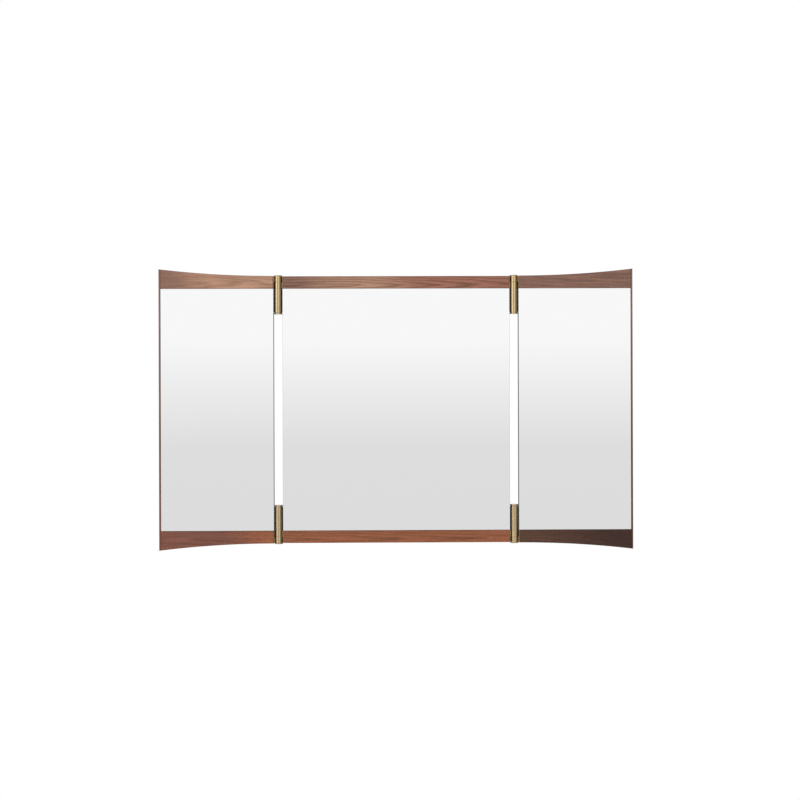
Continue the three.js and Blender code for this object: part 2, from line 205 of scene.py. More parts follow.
# Each pair is an angle in degrees round from the mirror's front, positive to the viewer's right, and
# the light there.
SIDE_LIGHTS = [
    (-180, 0.90), (-110, 0.85), (-60, 0.60), (-48.5, 0.60), (-45, LEFT_PANEL), (-37, LEFT_PANEL),
    (-33.5, 0.65), (-24, 0.75), (-13, 1.0), (13, 1.0), (17, RIGHT_PANEL), (24, RIGHT_PANEL),
    (30, 0.60), (70, 0.40), (110, 0.50), (180, 0.90)]
side_light = ramp(tree, spread(tree, azimuth, -math.pi, math.pi),
                  [((degrees + 180) / 360, light) for degrees, light in SIDE_LIGHTS])
# The sines of the heights at which the side lights start to fade, and are gone.
FADE_START = 0.14
FADE_END = 0.22
steepness = maths(tree, "ABSOLUTE", direction.outputs["Z"])
near_horizon = spread(tree, steepness, FADE_START, FADE_END, 1.0, 0.0)
studio_light = blended(tree, "MULTIPLY", near_horizon, height_light, side_light)
light_path = node(tree, "ShaderNodeLightPath")
seen = blended(tree, "MIX", light_path.outputs["Is Camera Ray"], studio_light, (1.0, 1.0, 1.0))
background = node(tree, "ShaderNodeBackground")
link(tree, seen, background.inputs["Color"])
output = node(tree, "ShaderNodeOutputWorld")
link(tree, background.outputs[0], output.inputs["Surface"])
print("world nodes", len(tree.nodes))

# %% [markdown]
# ## Lamps
# A tall softbox to the left and two large round lanterns light the wood from the front, and a weak
# softbox behind keeps the back of the mirror readable. None of them shows in the glass or the brass:
# the bright panels they would leave there are already in the world.

# %% Lamps
LANTERN_WATTS = 42
LANTERN_RADIUS = 0.4
LEFT_WATTS = 30
BEHIND_WATTS = 20
MIRROR_MIDDLE = (0, 0, -0.22)


def softbox(name, place, size, watts, target=MIRROR_MIDDLE):
    data = bpy.data.lights.new(name, "AREA")
    data.shape = "RECTANGLE"
    data.size, data.size_y = size
    data.energy = watts
    lamp = bpy.data.objects.new(name, data)
    bpy.context.collection.objects.link(lamp)
    lamp.location = place
    lamp.rotation_euler = (Vector(target) - Vector(place)).to_track_quat("-Z", "Y").to_euler()
    lamp.visible_camera = False
    lamp.visible_glossy = False
    return lamp


softbox("softbox_left", (-2.3, -2.6, 0.3), (0.7, 3.0), LEFT_WATTS)
for name, place in (("lantern_high", (-0.7, -2.8, 0.7)), ("lantern_low", (-0.6, -2.8, -1.1))):
    data = bpy.data.lights.new(name, "POINT")
    data.energy = LANTERN_WATTS
    data.shadow_soft_size = LANTERN_RADIUS
    lantern = bpy.data.objects.new(name, data)
    bpy.context.collection.objects.link(lantern)
    lantern.location = place
    lantern.visible_camera = False
    lantern.visible_glossy = False
softbox("softbox_behind", (0.8, 3.0, 1.2), (3.0, 2.0), BEHIND_WATTS)
print("lamps", len(bpy.data.lights))

# %% [markdown]
# ## Walnut
# Growth rings are nested tubes round the pith of the log. A rail sawn with the pith a few centimetres
# behind its face, and a degree or two off its length, shows them as long nested tongues. So the ring
# pattern is a Wave Texture of rings, with a Mapping node for where the pith lay. Noise stretched along
# the grain bends the rings, adds fibres, and sinks the small dark pores that make it walnut. Each rail
# has its own pith, because each is cut from another board. Walnut runs from pale sapwood to dark
# heartwood, so a few named tones are enough, and each rail runs from one of them to another. The tones
# are partly painted shade: the rails below the glass and those on the right get darker tones, which
# stand in for light falling from the upper left, on top of each board's own tone.

# %% Walnut
WALNUT_TONES = {
    "pale": (0.36, 0.20, 0.13),
    "rosy": (0.21, 0.11, 0.08),
    "red": (0.28, 0.12, 0.08),
    "russet": (0.24, 0.08, 0.035),
    "brown": (0.16, 0.06, 0.04),
    "umber": (0.08, 0.035, 0.02),
    "dark": (0.04, 0.015, 0.01),
}
GRAIN_TURN = {"X": (0, 0, 0), "Z": (0, math.pi / 2, 0)}


def material(name):
    made = bpy.data.materials.new(name)
    made.use_nodes = True
    tree = made.node_tree
    return made, tree, tree.nodes["Principled BSDF"]


def object_place(tree, location=(0, 0, 0), rotation=(0, 0, 0), scale=(1, 1, 1)):
    """Object coordinates with their origin and axes moved to location and rotation."""
    coordinates = node(tree, "ShaderNodeTexCoord")
    placed = node(tree, "ShaderNodeMapping", vector_type="TEXTURE")
    link(tree, coordinates.outputs["Object"], placed.inputs["Vector"])
    placed.inputs["Location"].default_value = location
    placed.inputs["Rotation"].default_value = rotation
    return scaled(tree, placed.outputs[0], scale)


def scaled(tree, vector, scale):
    made = node(tree, "ShaderNodeMapping")
    link(tree, vector, made.inputs["Vector"])
    made.inputs["Scale"].default_value = scale
    return made.outputs[0]


def noise(tree, vector, scale=1.0, detail=3.0, roughness=0.5):
    made = node(tree, "ShaderNodeTexNoise")
    link(tree, vector, made.inputs["Vector"])
    made.inputs["Scale"].default_value = scale
    made.inputs["Detail"].default_value = detail
    made.inputs["Roughness"].default_value = roughness
    return made


def add_relief(tree, shader, height, strength, depth_mm):
    """A Bump node between a height pattern and the shader."""
    bump = node(tree, "ShaderNodeBump")
    bump.inputs["Strength"].default_value = strength
    bump.inputs["Distance"].default_value = depth_mm * MM
    link(tree, height, bump.inputs["Height"])
    link(tree, bump.outputs[0], shader.inputs["Normal"])


# Spots per metre along the grain and across it. Wood figure is always drawn out along the grain.
BEND_GRAIN = (3.2, 34, 34)
STREAK_GRAIN = (7, 230, 230)
FIBRE_GRAIN = (45, 1500, 1500)
PORE_GRAIN = (170, 3600, 3600)
BEND_REACH = 16 * MM
PORE_TINT = (0.25, 0.2, 0.18)
PORE_DARKENING = 0.45


def walnut(name, tones, span, pith, tilt, grain, figure, ring_mm):
    """Walnut along X or Z. tones run over span, and pith and tilt say how the board was sawn."""
    made, tree, shader = material(name)
    turn = GRAIN_TURN[grain]
    rotation = (0, turn[1] + math.radians(tilt[1]), math.radians(tilt[0]))
    log = object_place(tree, pith, rotation)

    bend = noise(tree, scaled(tree, log, BEND_GRAIN), detail=3)
    shift = node(tree, "ShaderNodeVectorMath", operation="MULTIPLY_ADD")
    link(tree, bend.outputs["Color"], shift.inputs[0])
    shift.inputs[1].default_value = (0, BEND_REACH, BEND_REACH)
    link(tree, log, shift.inputs[2])
    rings = node(tree, "ShaderNodeTexWave", wave_type="RINGS", rings_direction="X", wave_profile="SAW")
    link(tree, shift.outputs[0], rings.inputs["Vector"])
    rings.inputs["Scale"].default_value = math.pi / (10 * ring_mm * MM)
    late_wood = ramp(tree, rings.outputs["Fac"], [
        (0.0, 0.72), (0.16, 1.0), (0.50, 0.88), (0.88, 0.46), (1.0, 0.72)])

    streaks = noise(tree, scaled(tree, log, STREAK_GRAIN), detail=4, roughness=0.6)
    streak_tone = ramp(tree, streaks.outputs["Fac"], [(0.30, 0.70), (0.50, 0.95), (0.72, 1.15)])
    fibres = noise(tree, scaled(tree, log, FIBRE_GRAIN), detail=3, roughness=0.6)
    fibre_tone = ramp(tree, fibres.outputs["Fac"], [(0.32, 0.80), (0.68, 1.14)])
    pores = noise(tree, scaled(tree, log, PORE_GRAIN), detail=1)
    pore_mask = ramp(tree, pores.outputs["Fac"], [(0.60, 0.0), (0.70, 1.0)])

    coordinates = node(tree, "ShaderNodeTexCoord")
    axes = node(tree, "ShaderNodeSeparateXYZ")
    link(tree, coordinates.outputs["Object"], axes.inputs[0])
    board_tone = ramp(tree, spread(tree, axes.outputs[grain], *span), tones, "EASE")
    colour = blended(tree, "MULTIPLY", figure, board_tone, late_wood)
    colour = blended(tree, "MULTIPLY", 0.75, colour, streak_tone)
    colour = blended(tree, "MULTIPLY", 0.8, colour, fibre_tone)
    pore_strength = maths(tree, "MULTIPLY", pore_mask, PORE_DARKENING)
    colour = blended(tree, "MULTIPLY", pore_strength, colour, PORE_TINT)
    link(tree, colour, shader.inputs["Base Color"])

    sheen_spread = spread(tree, streaks.outputs["Fac"], 0.3, 0.7, 0.56, 0.42)
    link(tree, maths(tree, "MULTIPLY_ADD", pore_mask, 0.2, sheen_spread), shader.inputs["Roughness"])
    shader.inputs["Specular IOR Level"].default_value = 0.22
    relief = maths(tree, "SUBTRACT", fibres.outputs["Fac"], pore_mask)
    add_relief(tree, shader, relief, 0.35, 0.08)
    return made


def rail_walnut(node_name, tones, depth, height, tilt, figure, ring_mm):
    """A rail's walnut, from one named tone to the next along it. Its pith lies depth behind the face
    and height above the rail's middle."""
    low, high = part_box(node_name)
    middle = (low + high) / 2
    count = len(tones) - 1
    stops = [(i / count, WALNUT_TONES[tone]) for i, tone in enumerate(tones)]
    pith = (middle.x, low.y + depth * MM, middle.z + height * MM)
    return walnut(node_name + "_walnut", stops, (low.x, high.x), pith, tilt, "X", figure, ring_mm)


# Each rail's tones from left to right, and how it was sawn: the pith's depth and height in millimetres,
# its two tilts in degrees, the strength of the figure and the width of a ring in millimetres.
# The darker tones of the rails below the glass and of the right-hand rails are partly painted shade of
# light from the upper left.
RAIL_BOARDS = {
    "left_wing_top_rail": (("rosy", "pale", "pale"), 30, -8, (1.4, 0.8), 0.55, 3.4),
    "center_top_rail": (("rosy", "pale", "red", "red"), 16.7, 0.5, (2.6, 0.15), 0.9, 4.5),
    "right_wing_top_rail": (("rosy", "rosy"), 36, 12, (-1.5, -0.8), 0.5, 3.4),
    "left_wing_bottom_rail": (("brown", "brown", "russet"), 28, 6, (-1.3, 0.6), 0.55, 3.4),
    "center_bottom_rail": (("russet", "russet"), 17.9, 2, (1.5, 0.3), 0.75, 5.0),
    "right_wing_bottom_rail": (("umber", "dark"), 34, -6, (1.5, 0.5), 0.5, 3.4),
}
rail_woods = {name: rail_walnut(name, *sawn) for name, sawn in RAIL_BOARDS.items()}
print("rail woods", len(rail_woods))

# %% [markdown]
# The upright pieces are cut from the same wood with the grain running up, each from one named tone at
# its foot to another at its top. Their pith lies 40 mm to one side, so they show straight lines. The
# outer strips' darker foot is painted shade of light falling from the upper left.

# %% Walnut of the strips and bands
UPRIGHT_TILT = (0.6, 1.2)
UPRIGHT_FIGURE = 0.4
UPRIGHT_RING_MM = 2.8


def upright_walnut(node_name, tone, foot_tone):
    low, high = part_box(node_name)
    middle = (low + high) / 2
    pith = (middle.x - 40 * MM, middle.y + 15 * MM, middle.z)
    stops = [(0.0, WALNUT_TONES[foot_tone]), (1.0, WALNUT_TONES[tone])]
    return walnut(node_name + "_walnut", stops, (low.z, high.z), pith, UPRIGHT_TILT, "Z",
                  UPRIGHT_FIGURE, UPRIGHT_RING_MM)


# Each upright's tone at the top and at the foot. The outer strips' darker foot is painted shade.
UPRIGHT_TONES = {
    "left_wing_outer_edge_strip": ("rosy", "brown"),
    "right_wing_outer_edge_strip": ("rosy", "umber"),
    "center_left_edge_band": ("umber", "umber"),
    "center_right_edge_band": ("umber", "umber"),
    "left_wing_inner_edge_band": ("umber", "umber"),
    "right_wing_inner_edge_band": ("umber", "umber"),
}
upright_woods = {name: upright_walnut(name, *tones) for name, tones in UPRIGHT_TONES.items()}
print("upright woods", len(upright_woods))

# %% [markdown]
# ## Mirror
# Silvered glass reflects about 93 % of the light, and the silver is behind the glass. Seen square on,
# that looks the same as a polished metal face, which renders faster and cleaner. A cloth leaves faint
# arcs on glass that has been wiped, so the roughness varies a little, far too little to blur the room.
# The cut edges are ground glass and stay greenish, and the back is covered with grey paint.

# %% Mirror finishes
def silvered_glass():
    made, tree, shader = material("silvered_glass")
    arcs = object_place(tree, rotation=(0, 0.6, 0), scale=(3, 3, 11))
    wiped = noise(tree, arcs, detail=4, roughness=0.55)
    dust = noise(tree, object_place(tree), scale=420, detail=2)
    shader.inputs["Metallic"].default_value = 1.0
    smear = spread(tree, wiped.outputs["Fac"], 0.35, 0.75, 0.008, 0.022)
    speck = spread(tree, dust.outputs["Fac"], 0.70, 0.80, 0.0, 0.02)
    link(tree, maths(tree, "ADD", smear, speck), shader.inputs["Roughness"])
    tint = ramp(tree, wiped.outputs["Fac"], [(0.3, (0.928, 0.932, 0.930)), (0.8, (0.932, 0.934, 0.933))])
    link(tree, tint, shader.inputs["Base Color"])
    return made


def ground_edge():
    made, tree, shader = material("ground_glass_edge")
    frost = noise(tree, object_place(tree), scale=900, detail=3)
    tint = ramp(tree, frost.outputs["Fac"], [(0.3, (0.08, 0.12, 0.10)), (0.7, (0.16, 0.21, 0.185))])
    link(tree, tint, shader.inputs["Base Color"])
    link(tree, spread(tree, frost.outputs["Fac"], 0.3, 0.7, 0.25, 0.5), shader.inputs["Roughness"])
    return made


def backing_paint():
    made, tree, shader = material("mirror_backing_paint")
    roll = noise(tree, object_place(tree, scale=(60, 60, 900)), detail=3)
    tint = ramp(tree, roll.outputs["Fac"], [(0.3, (0.22, 0.23, 0.24)), (0.7, (0.30, 0.31, 0.32))])
    link(tree, tint, shader.inputs["Base Color"])
    link(tree, spread(tree, roll.outputs["Fac"], 0.3, 0.7, 0.45, 0.65), shader.inputs["Roughness"])
    return made


glass_finishes = [silvered_glass(), ground_edge(), backing_paint()]
print("glass finishes", [m.name for m in glass_finishes])

# %% [markdown]
# ## Brass
# The barrels are turned on a lathe and then lacquered. The tool leaves fine rings, so on them the
# pattern depends only on the distance from the hinge's axis and the height along it. A Mapping node
# puts the axis in the right place, one material for the left pair and one for the right. The plates
# were brushed straight, along their length. Their brass, and that of the webs, flanges and leaf screws,
# is painted much darker than the barrels': painted shade of the narrow slot between barrel and rail.

# %% Brass
BRASS_LIGHT = (0.51, 0.385, 0.215)
BRASS_DARK = (0.46, 0.34, 0.175)
# The leaves' flat parts get this much darker brass as painted shade, for the narrow slot between barrel
# and rail.
PLATE_SHADE_LIGHT = (0.30, 0.19, 0.085)
PLATE_SHADE_DARK = (0.20, 0.12, 0.05)
LATHE_LINES = 2600
BRUSHED_GRAIN = (60, LATHE_LINES, LATHE_LINES)


def brass(name, vector_of, dark, light):
    made, tree, shader = material(name)
    vector = vector_of(tree)
    lines = noise(tree, vector, detail=3, roughness=0.65)
    tarnish = noise(tree, object_place(tree), scale=30, detail=3)
    colour = ramp(tree, lines.outputs["Fac"], [(0.25, dark), (0.75, light)])
    aged = ramp(tree, tarnish.outputs["Fac"], [(0.35, 0.92), (0.60, 1.0)])
    link(tree, blended(tree, "MULTIPLY", 1.0, colour, aged), shader.inputs["Base Color"])
    shader.inputs["Metallic"].default_value = 1.0
    shader.inputs["Coat Weight"].default_value = 0.6
    shader.inputs["Coat Roughness"].default_value = 0.15
    polished = spread(tree, lines.outputs["Fac"], 0.25, 0.75, 0.21, 0.17)
    dulled = spread(tree, tarnish.outputs["Fac"], 0.35, 0.6, 1, 0)
    rough = maths(tree, "MULTIPLY_ADD", dulled, 0.015, polished)
    link(tree, rough, shader.inputs["Roughness"])
    add_relief(tree, shader, lines.outputs["Fac"], 0.15, 0.01)
    return made


def lathe_lines(side):
    low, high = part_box(f"hinge_top_{side}_sleeve")
    axis = (low + high) / 2

    def vector_of(tree):
        local = object_place(tree, (axis.x, axis.y, 0))
        flat = scaled(tree, local, (1, 1, 0))
        radius = node(tree, "ShaderNodeVectorMath", operation="LENGTH")
        link(tree, flat, radius.inputs[0])
        height = node(tree, "ShaderNodeSeparateXYZ")
        link(tree, local, height.inputs[0])
        both = node(tree, "ShaderNodeCombineXYZ")
        link(tree, maths(tree, "MULTIPLY", radius.outputs["Value"], LATHE_LINES), both.inputs["X"])
        link(tree, maths(tree, "MULTIPLY", height.outputs["Z"], LATHE_LINES), both.inputs["Z"])
        return both.outputs[0]

    return vector_of


turned_brass = {side: brass(f"turned_brass_{side}", lathe_lines(side), BRASS_DARK, BRASS_LIGHT)
                for side in SIDES}
brushed_brass = brass("brushed_brass", lambda tree: object_place(tree, scale=BRUSHED_GRAIN),
                      PLATE_SHADE_DARK, PLATE_SHADE_LIGHT)
print("brass", sorted(m.name for m in turned_brass.values()), brushed_brass.name)

# %% [markdown]
# ## Hidden metals, board and rubber
# The rest is seen only from behind or with a wing folded: zinc-plated steel, mill aluminium, bronze
# friction washers, dark fibreboard and black rubber. Each has its own grain at its own scale: drawing
# lines on aluminium, a blotchy crystal pattern on zinc, felted fibres in the board.

# %% Hidden finishes
METAL_RELIEF_MM = 0.01


def metal(name, dark, light, scale, rough):
    """Metal with a two-tone pattern, its grain set by the three scales."""
    made, tree, shader = material(name)
    pattern = noise(tree, object_place(tree, scale=scale), detail=4, roughness=0.6)
    colour = ramp(tree, pattern.outputs["Fac"], [(0.3, dark), (0.7, light)])
    link(tree, colour, shader.inputs["Base Color"])
    shader.inputs["Metallic"].default_value = 1.0
    link(tree, spread(tree, pattern.outputs["Fac"], 0.3, 0.7, *rough), shader.inputs["Roughness"])
    add_relief(tree, shader, pattern.outputs["Fac"], 0.3, METAL_RELIEF_MM)
    return made


zinc_steel = metal("zinc_steel", (0.40, 0.41, 0.42), (0.58, 0.58, 0.57), (420, 420, 420),
                   (0.38, 0.24))
mill_aluminium = metal("mill_aluminium", (0.55, 0.55, 0.56), (0.70, 0.70, 0.71), (9, 1500, 1500),
                       (0.45, 0.32))
bronze = metal("bronze", (0.42, 0.28, 0.13), (0.54, 0.37, 0.18), (800, 800, 800), (0.34, 0.22))


def felted(name, dark, light, scale, rough, relief_mm):
    """A matt material of short fibres or grains: board or rubber."""
    made, tree, shader = material(name)
    coarse = noise(tree, object_place(tree), scale=scale, detail=5, roughness=0.7)
    cloud = noise(tree, object_place(tree), scale=9, detail=3)
    colour = ramp(tree, coarse.outputs["Fac"], [(0.3, dark), (0.7, light)])
    shade = ramp(tree, cloud.outputs["Fac"], [(0.3, 0.8), (0.7, 1.1)])
    link(tree, blended(tree, "MULTIPLY", 1.0, colour, shade), shader.inputs["Base Color"])
    link(tree, spread(tree, coarse.outputs["Fac"], 0.3, 0.7, *rough), shader.inputs["Roughness"])
    shader.inputs["Specular IOR Level"].default_value = 0.3
    add_relief(tree, shader, coarse.outputs["Fac"], 0.4, relief_mm)
    return made


fibreboard = felted("dark_fibreboard", (0.030, 0.024, 0.020), (0.075, 0.062, 0.052), 900,
                    (0.85, 0.7), 0.08)
rubber = felted("rubber", (0.012, 0.012, 0.012), (0.030, 0.030, 0.030), 1400, (0.9, 0.75), 0.05)
print("materials", len(bpy.data.materials))

# %% [markdown]
# ## Making pieces
# Every piece is a bmesh until it is finished. A real edge is never sharp: wood is sanded, metal is
# deburred. So each shape has its convex edges bevelled a little, which is also what catches the light.
# `finish_piece` merges doubles, turns the faces outwards, and ties the piece to its body and its finish.

# %% Shape helpers
def is_sharp(edge, limit):
    return len(edge.link_faces) == 2 and edge.is_convex and edge.calc_face_angle(0) > limit


def ease_edges(bm, width_mm, segments=2, limit=math.radians(30)):
    """Bevels every convex edge that turns by more than limit."""
    bmesh.ops.remove_doubles(bm, verts=bm.verts, dist=MERGE)
    bmesh.ops.recalc_face_normals(bm, faces=bm.faces)
    edges = [edge for edge in bm.edges if is_sharp(edge, limit)]
    bmesh.ops.bevel(bm, geom=edges, offset=width_mm * MM, offset_type="OFFSET", affect="EDGES",
                    segments=segments, profile=0.5, material=-1, clamp_overlap=True)


def block(low, high):
    """A box between two corners."""
    bm = bmesh.new()
    low, high = Vector(low), Vector(high)
    bmesh.ops.create_cube(bm, size=1.0)
    bmesh.ops.scale(bm, verts=bm.verts, vec=high - low)
    bmesh.ops.translate(bm, verts=bm.verts, vec=(low + high) / 2)
    return bm


def spun(profile, segments=96):
    """A profile of (radius, height) in millimetres, turned once round Z. A last point equal to the
    first closes it into a ring."""
    bm = bmesh.new()
    closed = profile[0] == profile[-1]
    corners = profile[:-1] if closed else profile
    points = [bm.verts.new((radius * MM, 0, height * MM)) for radius, height in corners]
    pairs = list(zip(points, points[1:] + points[:1]))
    edges = [bm.edges.new(pair) for pair in (pairs if closed else pairs[:-1])]
    bmesh.ops.spin(bm, geom=points + edges, cent=(0, 0, 0), axis=(0, 0, 1), dvec=(0, 0, 0),
                   angle=2 * math.pi, steps=segments, use_merge=True, use_duplicate=False)
    bmesh.ops.remove_doubles(bm, verts=bm.verts, dist=MERGE)
    bmesh.ops.recalc_face_normals(bm, faces=bm.faces)
    return bm


def as_object(bm, name):
    mesh = bpy.data.meshes.new(name)
    bm.to_mesh(mesh)
    bm.free()
    made = bpy.data.objects.new(name, mesh)
    bpy.context.collection.objects.link(made)
    return made


def combined(bm, others, operation="UNION"):
    """Joins closed shapes to bm, or cuts them from it, with Boolean modifiers."""
    body = as_object(bm, "body_shape")
    tools = [as_object(other, "tool_shape") for other in others]
    for tool in tools:
        modifier = body.modifiers.new("combine", "BOOLEAN")
        modifier.operation = operation
        modifier.solver = "EXACT"
        modifier.object = tool
    evaluated = body.evaluated_get(bpy.context.evaluated_depsgraph_get())
    result = bmesh.new()
    result.from_mesh(evaluated.to_mesh())
    evaluated.to_mesh_clear()
    for used in [body] + tools:
        bpy.data.objects.remove(used)
    return result


def finish_piece(bm, name, body, materials, replaced=(), angle=35):
    """Turns a bmesh into a finished piece that rides on a body and stands for CAD nodes."""
    bmesh.ops.remove_doubles(bm, verts=bm.verts, dist=MERGE)
    bmesh.ops.recalc_face_normals(bm, faces=bm.faces)
    piece = as_object(bm, name)
    for finish in materials:
        piece.data.materials.append(finish)
    piece.data.shade_smooth()
    piece.data.set_sharp_from_angle(angle=math.radians(angle))
    weighted = piece.modifiers.new("weighted_normals", "WEIGHTED_NORMAL")
    weighted.keep_sharp = True
    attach(piece, body)
    if replaced:
        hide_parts(*replaced)
    return piece


# %% [markdown]
# ## Rails
# A rail is a length of walnut with a step cut out of its back, where the board sits. The step's outline
# is one face, extruded along the rail, sliced with cuts, and its outer edge is then lifted along the
# arc. On the centre rails the edge is straight. The rails stand 2 mm proud of the glass, so their
# eased edge throws the thin shadow line that frames each pane.

# %% Rails
ARC_RADIUS = 2400 * MM
REBATE_DEPTH = 6 * MM
REBATE_HEIGHT = 10 * MM
RAIL_EASE_MM = 0.8
RAIL_ROUND_MM = 2.0
RAIL_SLICES = 28
SAME_PLACE = 1e-6


def arc_lift(distance):
    return ARC_RADIUS - math.sqrt(ARC_RADIUS ** 2 - distance ** 2)


def is_outer_front(edge, front_y, level):
    """True for the long edge between a rail's face and its outer side."""
    on_front = all(abs(vertex.co.y - front_y) < SAME_PLACE for vertex in edge.verts)
    faces_out = any(face.normal.z * level > 0.9 for face in edge.link_faces)
    return on_front and faces_out


def rail_shape(node_name, level, hinge_x=None):
    """A rail from its box. level is 1 above the glass and -1 below; hinge_x is where the arc starts."""
    low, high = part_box(node_name)
    inner = low.z if level > 0 else high.z
    outer_height = abs(high.z - low.z)
    if hinge_x is not None:
        outer_height -= arc_lift(high.x - low.x)
    section = [(low.y, 0), (low.y + REBATE_DEPTH, 0), (low.y + REBATE_DEPTH, REBATE_HEIGHT),
               (high.y, REBATE_HEIGHT), (high.y, outer_height), (low.y, outer_height)]
    bm = bmesh.new()
    corners = [bm.verts.new((low.x, y, inner + level * z)) for y, z in section]
    end = bm.faces.new(corners)
    grown = bmesh.ops.extrude_face_region(bm, geom=[end])["geom"]
    far_end = [element for element in grown if isinstance(element, bmesh.types.BMVert)]
    bmesh.ops.translate(bm, verts=far_end, vec=(high.x - low.x, 0, 0))
    if hinge_x is not None:
        for i in range(1, RAIL_SLICES):
            cut_x = low.x + (high.x - low.x) * i / RAIL_SLICES
            bmesh.ops.bisect_plane(bm, geom=bm.verts[:] + bm.edges[:] + bm.faces[:], dist=MERGE,
                                   plane_co=(cut_x, 0, 0), plane_no=(1, 0, 0))
        edge_z = inner + level * outer_height
        for vertex in bm.verts:
            if abs(vertex.co.z - edge_z) < SAME_PLACE:
                vertex.co.z += level * arc_lift(abs(vertex.co.x - hinge_x))
    bmesh.ops.recalc_face_normals(bm, faces=bm.faces)
    outer_front = [edge for edge in bm.edges
                   if is_sharp(edge, 1.0) and is_outer_front(edge, low.y, level)]
    bmesh.ops.bevel(bm, geom=outer_front, offset=RAIL_ROUND_MM * MM, offset_type="OFFSET", affect="EDGES",
                    segments=5, profile=0.5, material=-1, clamp_overlap=True)
    ease_edges(bm, RAIL_EASE_MM, segments=3)
    return bm


for row, level in LEVELS.items():
    name = f"center_{row}_rail"
    finish_piece(rail_shape(name, level), name + "_wood", CENTER, [rail_woods[name]], [name])
    for side, sign in SIDES.items():
        name = f"{side}_wing_{row}_rail"
        low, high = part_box(name)
        hinge_end = high.x if sign < 0 else low.x
        shape = rail_shape(name, level, hinge_end)
        finish_piece(shape, name + "_wood", f"{side}_wing", [rail_woods[name]], [name])

# %% [markdown]
# ## Outer strips and edge bands
# A thin strip of walnut closes the outer end of each wing. It is as deep as the rails, and its two ends
# follow their arc. A thinner band covers each raw edge of board that faces a gap between the panels.

# %% Outer strips and edge bands
def strip_shape(node_name, hinge_x):
    low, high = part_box(node_name)
    bm = block(low, high)
    far = max(abs(low.x - hinge_x), abs(high.x - hinge_x))
    for vertex in bm.verts:
        drop = arc_lift(far) - arc_lift(abs(vertex.co.x - hinge_x))
        vertex.co.z += -drop if vertex.co.z > panel_middle else drop
    ease_edges(bm, STRIP_EASE_MM)
    return bm


STRIP_EASE_MM = 0.5
BAND_EASE_MM = 0.25
for side, sign in SIDES.items():
    low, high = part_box(f"{side}_wing_top_rail")
    hinge_end = high.x if sign < 0 else low.x
    name = f"{side}_wing_outer_edge_strip"
    finish_piece(strip_shape(name, hinge_end), name + "_wood", f"{side}_wing",
                 [upright_woods[name]], [name])

BAND_BODIES = {
    "center_left_edge_band": CENTER,
    "center_right_edge_band": CENTER,
    "left_wing_inner_edge_band": "left_wing",
    "right_wing_inner_edge_band": "right_wing",
}
for name, body in BAND_BODIES.items():
    bm = block(*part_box(name))
    ease_edges(bm, BAND_EASE_MM)
    finish_piece(bm, name + "_wood", body, [upright_woods[name]], [name])
print("strips and bands", len(upright_woods))

# %% [markdown]
# ## Panes and boards
# Each pane is 4 mm float glass, ground along its edges with a narrow arris, and bonded to a 15 mm
# board. The pane has three finishes: silver on the face, ground glass round the edge, paint behind.

# %% Panes and boards
def pane_shape(node_name):
    bm = block(*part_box(node_name))
    ease_edges(bm, 0.4, segments=1)
    for face in bm.faces:
        toward = face.normal.y
        face.material_index = 0 if toward < -0.99 else 2 if toward > 0.99 else 1
    return bm


for panel, body in (("center", CENTER), ("left_wing", "left_wing"), ("right_wing", "right_wing")):
    name = f"{panel}_mirror_glass"
    finish_piece(pane_shape(name), f"{panel}_silvered_pane", body, glass_finishes, [name],
                 angle=20)
    name = f"{panel}_back_board"
    bm = block(*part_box(name))
    ease_edges(bm, 0.6)
    finish_piece(bm, f"{panel}_fibreboard", body, [fibreboard], [name])

# %% [markdown]
# ## Hinges
# Each barrel is a stack on one pin: the pin's head, the wing's knuckle, a bronze friction washer, the
# centre's knuckle, and a long sleeve with a cap, under which the springs and the nut sit. Round pieces
# are a profile spun round the axis. A leaf is a knuckle joined to a web, a plate on the rail's end and
# a flange behind the rail, with two countersunk holes. The parts are joined with Boolean unions, and
# each has its edges eased first, because that is much more reliable than bevelling the joined skin.

# %% Hinge places
FIT = 0.3
BARREL = 10.5
BORE = 5.3
CENTER_KNUCKLE_TOP = 15.5
WING_KNUCKLE = (17.1, 30.9)
PLATE_X = (10.55, 12.75)
PLATE_Y = (-10.0, 13.3)
FLANGE_Y = (11.3, 13.3)
FLANGE_Z = (12.0, 28.0)
FLANGE_REACH = 56.0
SCREW_X = (28.0, 46.0)
SCREW_Z = 20.0
COUNTERSINK = 4.0
LEAF_HOLE = 2.0
HOLE_PROFILE = [(0, -1.1), (LEAF_HOLE, -1.1), (LEAF_HOLE, 0), (COUNTERSINK + 0.02, 2.02), (0, 2.02)]
SMALL_SEGMENTS = 48
SPIGOT_END = -6
SPIGOT = 8.7
WEB_X = (9.0, 11.6)
WEB_Y = (-6, 6)
FLANGE_START = 11.2
PLATE_EASE = 0.3


def hinge_place(row, side):
    """The hinge's own frame: Z outwards along the axis, +X to the centre, origin at the glass edge."""
    low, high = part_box(f"hinge_{row}_{side}_sleeve")
    level = LEVELS[row]
    edge = high.z + FIT * MM if level > 0 else low.z - FIT * MM
    middle = (low + high) / 2
    return Matrix.Translation((middle.x, middle.y, edge)) @ Matrix.Diagonal((-SIDES[side], 1, level, 1))


def put(bm, matrix):
    bmesh.ops.transform(bm, matrix=matrix, verts=bm.verts)
    bmesh.ops.recalc_face_normals(bm, faces=bm.faces)
    return bm


def pointing_back(x, y, z, spin=0.0):
    """Places a screw or a hole made about Z so that its top faces back along +Y."""
    return (Matrix.Translation((x, y, z)) @ Matrix.Rotation(-math.pi / 2, 4, "X")
            @ Matrix.Rotation(spin, 4, "Z"))


def mm_block(x, y, z, ease):
    bm = block((x[0] * MM, y[0] * MM, z[0] * MM), (x[1] * MM, y[1] * MM, z[1] * MM))
    ease_edges(bm, ease)
    return bm


print("hinge origin", [round(v, 4) for v in hinge_place("top", "left").translation])


